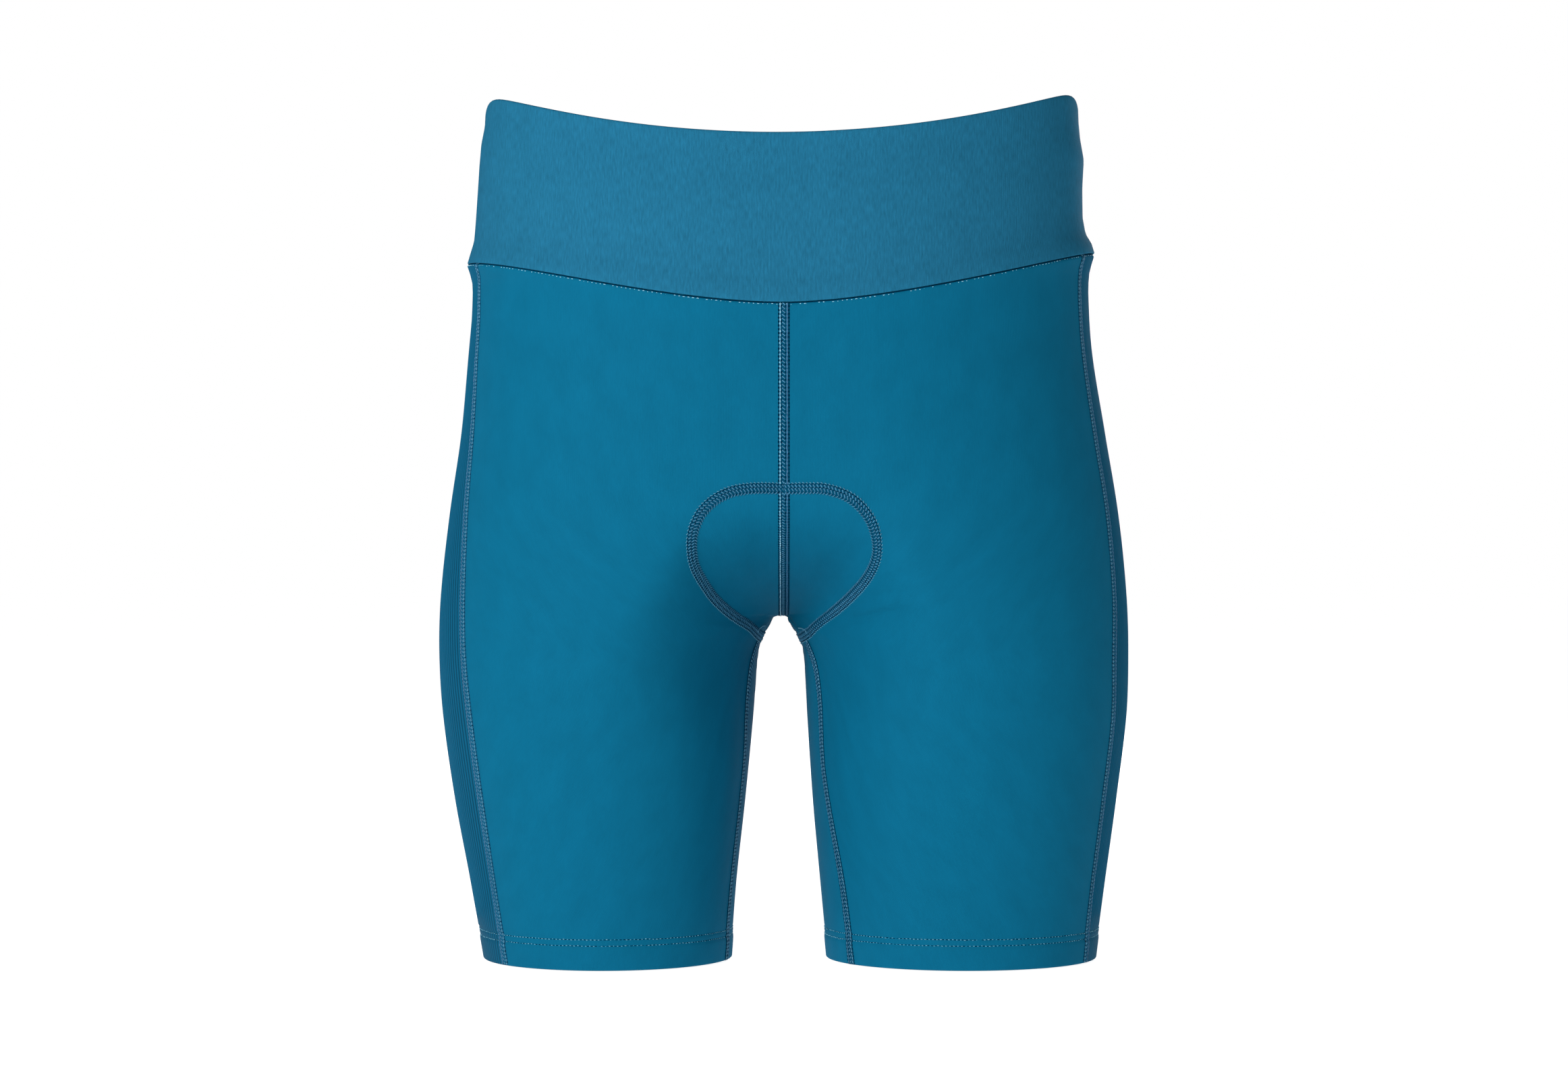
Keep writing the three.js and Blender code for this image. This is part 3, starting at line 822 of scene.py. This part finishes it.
def thread(bm, line, offset, stitch, material, sides=6, seen=None):
    """A thread along a line, offset to one side of it. A stitch gives, for each of its four rings,
    how far it sways across the line, how far it is off the cloth, and its width and height. Where
    seen is given, it says how far each stitch of the thread is out of the cloth."""
    count = len(line["points"])
    number, ring = np.divmod(np.arange(count) + stitch.get("phase", 0), RINGS)
    sway, lift, width, height = (np.broadcast_to(stitch[key], RINGS)[ring] for key in STITCH_PARTS)
    loose = chance.normal(0, stitch.get("loose", LOOSE), (2, number[-1] + 1))[:, number]
    if seen is not None:
        lift = lift - UNSEEN * (1 - seen(number))
    spine = line["points"] + line["across"] * (offset + sway + loose[0])[:, None]
    spine, out = on_cloth(spine, lift + loose[1], line["names"])
    around = np.linspace(0, 2 * np.pi, sides + 1)
    wide = line["across"][:, None] * (np.cos(around)[:, None] * width[:, None, None])
    high = out[:, None] * (np.sin(around)[:, None] * height[:, None, None])
    tube = spine[:, None] + wide + high
    tube[0] = spine[0]
    tube[-1] = spine[-1]
    verts = laid_grid(bm, tube, flipped=True, material=material)
    edges = verts[:: sides + 1] + verts[sides :: sides + 1]
    edges += verts[: sides + 1] + verts[-sides - 1 :]
    bmesh.ops.remove_doubles(bm, verts=list(set(edges)), dist=1e-7)


def lapped_edge(bm, line, reach, material):
    """The lapped cloth under a seam's threads, a low flat band whose sides end in the cloth."""
    across = np.array([-1, -0.94, -0.6, 0, 0.6, 0.94, 1]) * reach
    lifts = np.array([-0.25, 0.14, 0.24, 0.2, 0.24, 0.14, -0.25])
    spread = line["points"][::2, None] + line["across"][::2, None] * across[:, None]
    laid, _ = on_cloth(spread, np.broadcast_to(lifts, spread.shape[:-1]), line["names"])
    laid_grid(bm, laid, material=material)


def thread_material(name, colour, roughness):
    """Spun thread: two plies twisted, slightly shiny, with painted shade between the plies and
    lighter and darker patches of colour at random.
    """
    material, nodes, links, shader = new_material(name)
    set_values(shader, {"Roughness": roughness, "Specular IOR Level": 0.2})
    uv = nodes.new("ShaderNodeUVMap")
    uv.uv_map = CLOTH_UV
    twist = nodes.new("ShaderNodeTexWave")
    twist.bands_direction = "DIAGONAL"
    twist.inputs["Scale"].default_value = 900
    links.new(uv.outputs[0], twist.inputs["Vector"])
    patches = nodes.new("ShaderNodeTexNoise")
    set_values(patches, {"Scale": 620, "Detail": 1})
    links.new(uv.outputs[0], patches.inputs["Vector"])
    share = nodes.new("ShaderNodeMapRange")
    set_values(share, {"From Min": 0.35, "From Max": 0.65})
    links.new(patches.outputs["Fac"], share.inputs["Value"])
    blend = nodes.new("ShaderNodeMath")
    blend.operation = "MULTIPLY_ADD"
    blend.inputs[1].default_value = 0.35
    links.new(twist.outputs["Fac"], blend.inputs[0])
    faded = nodes.new("ShaderNodeMath")
    faded.operation = "MULTIPLY"
    faded.inputs[1].default_value = 0.65
    links.new(share.outputs[0], faded.inputs[0])
    links.new(faded.outputs[0], blend.inputs[2])
    tone = nodes.new("ShaderNodeMix")
    tone.data_type = "RGBA"
    set_values(tone, {"A": (*(0.55 * x for x in colour), 1), "B": (*colour, 1)})
    links.new(blend.outputs[0], tone.inputs["Factor"])
    links.new(tone.outputs["Result"], shader.inputs["Base Color"])
    relief_node = nodes.new("ShaderNodeBump")
    set_values(relief_node, {"Strength": 0.5, "Distance": 0.0001})
    links.new(twist.outputs["Fac"], relief_node.inputs["Height"])
    links.new(relief_node.outputs[0], shader.inputs["Normal"])
    return material


# Bed under the centre seam, the inseams and the pad's stitching: much darker than the panels, as
# painted shade between the threads
lapped_knit_painted_shade = knit_material("lapped_knit_painted_shade", (0.0003, 0.056, 0.115), 1700, 0.6, 0.3, 0.1, 0.7, 0)
eased_knit = knit_material("eased_knit", (0.006, 0.088, 0.17), 1700, 0.6, 0.3, 0.1, 0.7, 0)
# Near-black spots in the needle holes: painted shade
hole_shade_knit = knit_material("hole_shade_knit", (0.0001, 0.013, 0.04), 1700, 0.6, 0.2, 0.1, 0.8, 0)
# Painted highlights: small near-white dashes laid on the centre seam's stitches as glints
glint_highlight_thread = thread_material("glint_highlight_thread", (0.44, 0.78, 0.97), 0.5)
light_thread = thread_material("light_thread", (0.1, 0.33, 0.5), 0.55)
soft_thread = thread_material("soft_thread", (0.065, 0.2, 0.36), 0.55)
loop_thread = thread_material("loop_thread", (0.052, 0.225, 0.385), 0.55)
SEWING = (
    lapped_knit_painted_shade, eased_knit, hole_shade_knit, glint_highlight_thread, light_thread, soft_thread, loop_thread
)
BED_SHADE, EASED, HOLE_SHADE, GLINT_HIGHLIGHT, LIGHT, SOFT, LOOPS = range(7)

# Stitches, ring by ring: a dash comes up out of the cloth, lies on it and goes down again, a rope
# stays in sight, and a glint is a painted highlight, a small bright dash laid on top of a stitch. A
# needle hole is a near-black spot of painted shade where the needle went through.
STITCH_PARTS = ("sway", "lift", "width", "height")
DASH = {
    "sway": 0,
    "lift": (-0.05, 0.34, 0.44, 0.34),
    "width": (0.2, 0.33, 0.37, 0.33),
    "height": (0.14, 0.2, 0.24, 0.2),
}
ROPE = {
    "sway": 0,
    "lift": (0.1, 0.3, 0.36, 0.3),
    "width": (0.2, 0.33, 0.37, 0.33),
    "height": 0.2,
}
GLINT = {
    "sway": 0,
    "lift": (0.1, 0.36, 0.5, 0.34),
    "width": (0.1, 0.22, 0.28, 0.22),
    "height": (0.1, 0.18, 0.2, 0.18),
    "loose": 0.05,
}
NEEDLE_HOLE = {
    "sway": 0,
    "lift": (-0.3, 0.16, 0.21, 0.16),
    "width": (0.1, 0.24, 0.3, 0.24),
    "height": 0.1,
    "phase": 2,
}


def slant(reach, width):
    """A loop laid aslant from one side to the other."""
    return {
        "sway": (-reach, -reach * 0.4, reach * 0.4, reach),
        "lift": (0.08, 0.38, 0.38, 0.08),
        "width": (0.22, width, width, 0.22),
        "height": (0.14, 0.2, 0.2, 0.14),
    }


FLATLOCK_REACH = 3
PAD_REACH = 2.7
# Where the pad's stitching is sewn over the seams: at the centre front, the centre back and on the
# inseams
PAD_AT_FRONT = -166.5
PAD_AT_BACK = -118
PAD_AT_INSEAM = -243.5
INSEAM_TOP = PAD_AT_INSEAM - 3


def pad_corner(half):
    return body_point(half, inseam(half, PAD_AT_INSEAM), PAD_AT_INSEAM).reshape(3)


def outside_pad_stitching(line):
    """For each stitch of a seam, whether it is clear of the pad's stitching."""
    crossings = [body_point(LEFT, 0, PAD_AT_FRONT), body_point(LEFT, 1, PAD_AT_BACK)]
    crossings += [pad_corner(LEFT), pad_corner(RIGHT)]
    apart = [np.linalg.norm(line["points"] - crossing, axis=1) for crossing in crossings]
    clear = np.min(apart, axis=0) > PAD_REACH
    return lambda number: clear[np.minimum(number * RINGS + 2, len(clear) - 1)]


def flatlock(name, line, bright_side, needle_rows, holes=(2.72, 1.12, -0.8, -2.5), bed=BED_SHADE):
    """The threads of one seam, whose first needle row is on the side of the given sign."""
    bm = bmesh.new()
    seen = outside_pad_stitching(line)
    lapped_edge(bm, line, FLATLOCK_REACH, bed)
    for offset, stitch, threads in needle_rows:
        thread(bm, line, offset * bright_side, stitch, threads, 5, seen)
    thread(bm, line, 0.2 * bright_side, slant(-0.75 * bright_side, 0.56), LOOPS, 5, seen)
    for offset in holes:
        thread(bm, line, offset * bright_side, NEEDLE_HOLE, HOLE_SHADE, 4, seen)
    return finished(name, bm, *SEWING)


TRUNK = ("front_left", "front_right", "back_left", "back_right")
down = np.linspace(0, CROTCH_DOWN, 160)
front_z = np.maximum(row_height(LEFT, 0, down), CROTCH_Z + 0.01)
back_z = np.maximum(row_height(LEFT, 1, down[::-1]), CROTCH_Z + 0.01)
centre = np.concatenate([rolled_point(LEFT, 0, front_z), rolled_point(LEFT, 1, back_z)])
line = sewing_line(centre, TRUNK)
centre_rows = ((1.95, ROPE, LIGHT), (1.95, GLINT, GLINT_HIGHLIGHT), (-1.6, ROPE, SOFT))
flatlock("threads_centre_seam", line, RIGHT, centre_rows)
side_rows = ((1.95, ROPE, SOFT), (-1.7, DASH, LIGHT))
inseam_rows = ((1.95, DASH, LIGHT), (-1.6, ROPE, LOOPS))
for half, leg in ((LEFT, "left"), (RIGHT, "right")):
    for front, face in ((True, "front"), (False, "back")):
        z = np.linspace(float(row_height(half, 0.5, 0)) - 0.3, HEM_EDGE + 0.6, 200)
        path = rolled_point(half, side_seam(half, front, z), z)
        line = sewing_line(path, (f"{face}_{leg}", f"side_{leg}"))
        name = f"threads_side_seam_{face}_{leg}"
        to_ribs = half if front else -half
        flatlock(name, line, to_ribs, side_rows, (-1.7, -2.4), EASED)
    z = np.linspace(INSEAM_TOP, HEM_EDGE + 0.6, 160)
    line = sewing_line(body_point(half, inseam(half, z), z), (f"front_{leg}", f"back_{leg}"))
    flatlock(f"threads_inseam_{leg}", line, half, inseam_rows)


# Pad stitching
# One closed line of sewing: a rounded shield in front, round the inner thighs, and a wider one
# behind. Two strips of slanting loops lie between a row of hooks at the outer edge and short ties
# at the inner one.
PAD_FRONT_LEFT = [
    (0, PAD_AT_FRONT), (11, -166.3), (21.5, -166.8), (33.4, -171.2), (42.4, -180.2), (46.8, -192),
    (46.4, -202.5), (41.6, -212.6), (33, -222.8), (22, -232.8),
]
PAD_FRONT_RIGHT = [
    (9, -166.2), (17, -166.4), (25, -167.6), (31.3, -170), (36.6, -173.4), (41.2, -178.1),
    (44.4, -183.9), (46.2, -190), (46.6, -197), (45.6, -204.5), (42.6, -211.5), (36, -222),
    (27, -231), (18.5, -237),
]
# Short rows where the inseams' sewing turns in under the crotch
CROTCH_TURNS = (
    [(7.6, -238.8), (9.4, -238.9), (11.4, -239.8), (12.4, -241.6)],
    [(-10, -237.3), (-11.6, -237.7), (-13.4, -239.2), (-14.2, -241.2)],
)
PAD_BACK = [
    (20, -238.5), (36, -229), (54, -214), (70, -192), (77, -168), (73, -147), (58, -131),
    (36, -122), (0, PAD_AT_BACK),
]
OUT_OF_REACH = 1000


def seen_from(front, x, z):
    """The point of the trunk's cloth that is seen at x and z from straight in front or behind."""
    side = -1 if front else 1
    start = Vector((x, side * OUT_OF_REACH, z)) * MM
    names = [name for name in TRUNK if name.startswith("front" if front else "back")]
    hits = [cloth_shapes[name].ray_cast(start, Vector((0, -side, 0)))[0] for name in names]
    found = [hit for hit in hits if hit is not None]
    return np.array(min(found, key=lambda hit: (hit - start).length)) / MM


def curve_through(points, steps):
    """A smooth closed curve through points, with as many steps between each two."""
    before, after = np.roll(points, 1, axis=0), np.roll(points, -1, axis=0)
    beyond = np.roll(points, -2, axis=0)
    leaving, arriving = (after - before) / 2, (beyond - points) / 2
    q = np.linspace(0, 1, steps, endpoint=False)[:, None, None]
    h = (1 + 2 * q) * (1 - q) ** 2 * points + q * (1 - q) ** 2 * leaving
    h = h + q**2 * (3 - 2 * q) * after + q**2 * (q - 1) * arriving
    return h.transpose(1, 0, 2).reshape(-1, 3)


pad_points = [seen_from(True, x, z) for x, z in PAD_FRONT_LEFT]
pad_points += [pad_corner(LEFT)]
pad_points += [seen_from(False, x, z) for x, z in PAD_BACK]
pad_points += [seen_from(False, -x, z) for x, z in PAD_BACK[-2::-1]]
pad_points += [pad_corner(RIGHT)]
pad_points += [seen_from(True, -x, z) for x, z in PAD_FRONT_RIGHT[::-1]]
outline = curve_through(np.array(pad_points), 24)
pad_line = sewing_line(np.vstack([outline, outline[:1]]), TRUNK, 1.8)
bm = bmesh.new()
lapped_edge(bm, pad_line, PAD_REACH, BED_SHADE)
HOOK = {**slant(-0.32, 0.26), "lift": (-0.5, 0.2, 0.32, -0.1)}
COMB = {**slant(0.4, 0.3), "phase": 2, "lift": (-0.3, 0.14, 0.14, -0.3)}
thread(bm, pad_line, 2.85, HOOK, LIGHT, 4)
for offset in (2.15, 0.42):
    thread(bm, pad_line, offset, NEEDLE_HOLE, HOLE_SHADE, 4)
thread(bm, pad_line, 1.3, slant(-0.74, 0.6), LOOPS, 5)
thread(bm, pad_line, -0.55, slant(-0.85, 0.62), LOOPS, 5)
# A row of dashes in the needle holes' near-black painted shade
thread(bm, pad_line, -1.8, COMB, HOLE_SHADE, 4)
thread(bm, pad_line, -2.3, slant(0.6, 0.42), LOOPS, 4)
for turn in CROTCH_TURNS:
    path = np.array([seen_from(True, x, z) for x, z in turn])
    thread(bm, sewing_line(path, TRUNK), 0, DASH, LIGHT, 5)
finished("threads_pad", bm, *SEWING)


# Hem stitching
# Two parallel needle rows round each leg, which hold the turned-up edge inside.
HEM_PITCH = 2.05
hem_thread = thread_material("hem_thread", (0.13, 0.42, 0.58), 0.55)
HEM_DASH = {
    "sway": (0, 0.06, 0, -0.06),
    "lift": (-0.5, -0.2, 0.16, -0.2),
    "width": (0.1, 0.2, 0.28, 0.2),
    "height": (0.08, 0.16, 0.2, 0.16),
    "loose": 0.12,
}
# Needle holes of the hem, near-black spots of painted shade
HEM_HOLE = {**NEEDLE_HOLE, "lift": (-0.3, 0, 0.04, 0), "width": (0.1, 0.16, 0.22, 0.16)}
for half, leg in ((LEFT, "left"), (RIGHT, "right")):
    bm = bmesh.new()
    for drop in HEM_STITCHES:
        path = body_point(half, np.linspace(0, 1, 500), HEM_TOP - drop)
        names = (f"front_{leg}", f"side_{leg}", f"back_{leg}")
        line = sewing_line(path, names, HEM_PITCH)
        thread(bm, line, 0, HEM_DASH, 0, 4)
        thread(bm, line, 0, HEM_HOLE, 1, 4)
    finished(f"threads_hem_{leg}", bm, hem_thread, hole_shade_knit)


# Waistband seam stitching
# A strip of painted shadow under the waistband's lip, and the row that joins the band to the
# panels, which shows only as dots here and there.
SEAM_DOT = {
    "sway": 0,
    "lift": (-0.6, -0.3, 0.08, -0.3),
    "width": (0.1, 0.18, 0.22, 0.18),
    "height": (0.1, 0.18, 0.2, 0.18),
    "loose": 0.09,
}
LIP_SHADOW_STRIP = {"sway": 0, "lift": 0, "width": 0.45, "height": 0.16}
DOT_PITCH = 2.35
SHADOW_BELOW = 0.1
DOTS_BELOW = 0.7
places = np.linspace(0, 1, 400)


def under_band(below):
    """A line to sew on all round, at a distance below the waistband's seam."""
    left_z = level_line(BAND_SEAM, LEFT, places) - below
    right_z = level_line(BAND_SEAM, RIGHT, places[::-1]) - below
    left_half = rolled_point(LEFT, places, left_z)
    right_half = rolled_point(RIGHT, places[::-1], right_z)
    return sewing_line(np.concatenate([left_half, right_half]), tuple(panels), DOT_PITCH)


# Near-black cloth for the strip of painted shadow under the band's lip
lip_shadow_knit = knit_material("lip_shadow_knit", (0.0001, 0.03, 0.07), 1700, 0.6, 0.2, 0.1, 0.8, 0)
bm = bmesh.new()
thread(bm, under_band(SHADOW_BELOW), 0, LIP_SHADOW_STRIP, 1, 4)
line = under_band(DOTS_BELOW)
shows = chance.random(len(line["points"])) < 0.75
thread(bm, line, 0, SEAM_DOT, 0, 5, lambda number: shows[number])
dot_thread = thread_material("dot_thread", (0.3, 0.66, 0.84), 0.5)
finished("threads_waistband_seam", bm, dot_thread, lip_shadow_knit)


# Floor, light and camera
# A pale studio: an even white floor, a large soft light from the left front, a weak one from the
# right and another from behind, and a long lens level with the middle of the shorts.
FLOOR_GLOW = 0.88
AMBIENT = 0.22
bm = bmesh.new()
bmesh.ops.create_grid(bm, x_segments=1, y_segments=1, size=12)
floor_mesh = bpy.data.meshes.new("floor")
bm.to_mesh(floor_mesh)
bm.free()
floor = bpy.data.objects.new("floor", floor_mesh)
floor.location.z = (HEM_EDGE - 0.5) * MM
pale, _, _, shader = new_material("pale_floor")
set_values(shader, {
    "Base Color": (0.5, 0.5, 0.5, 1),
    "Roughness": 0.9,
    "Emission Color": (1, 1, 1, 1),
    "Emission Strength": FLOOR_GLOW,
})
floor_mesh.materials.append(pale)
bpy.context.scene.collection.objects.link(floor)


def soft_light(name, place, aim, size, power):
    lamp = bpy.data.lights.new(name, "AREA")
    lamp.shape = "DISK"
    lamp.size = size
    lamp.energy = power
    light = bpy.data.objects.new(name, lamp)
    light.location = place
    light.rotation_euler = (Vector(aim) - Vector(place)).to_track_quat("-Z", "Y").to_euler()
    bpy.context.scene.collection.objects.link(light)


MIDDLE = (0, 0, -0.19)
soft_light("key", (-1.3, -1.85, 0.5), MIDDLE, 1.0, 47.5)
soft_light("fill", (1.6, -1.9, 0.1), MIDDLE, 1.4, 6)
soft_light("back", (0.9, 2.3, 0.5), MIDDLE, 1.2, 22)
world = bpy.data.worlds.new("studio")
world.use_nodes = True
nodes, links = world.node_tree.nodes, world.node_tree.links
around = nodes["Background"]
around.inputs["Color"].default_value = (1, 1, 1, 1)
around.inputs["Strength"].default_value = AMBIENT
backdrop = nodes.new("ShaderNodeBackground")
backdrop.inputs["Color"].default_value = (1, 1, 1, 1)
ray = nodes.new("ShaderNodeLightPath")
either = nodes.new("ShaderNodeMixShader")
links.new(ray.outputs["Is Camera Ray"], either.inputs["Fac"])
links.new(around.outputs[0], either.inputs[1])
links.new(backdrop.outputs[0], either.inputs[2])
links.new(either.outputs[0], nodes["World Output"].inputs["Surface"])
bpy.context.scene.world = world
bpy.context.scene.view_settings.view_transform = "Standard"

CAMERA_DISTANCE = 2.0
FRAME_WIDTH = 0.83
camera = bpy.data.objects.new("camera", bpy.data.cameras.new("camera"))
camera.location = (0, -CAMERA_DISTANCE, MIDDLE[2])
camera.rotation_euler = (np.pi / 2, 0, 0)
camera.data.lens = camera.data.sensor_width * CAMERA_DISTANCE / FRAME_WIDTH
bpy.context.scene.collection.objects.link(camera)
bpy.context.scene.camera = camera
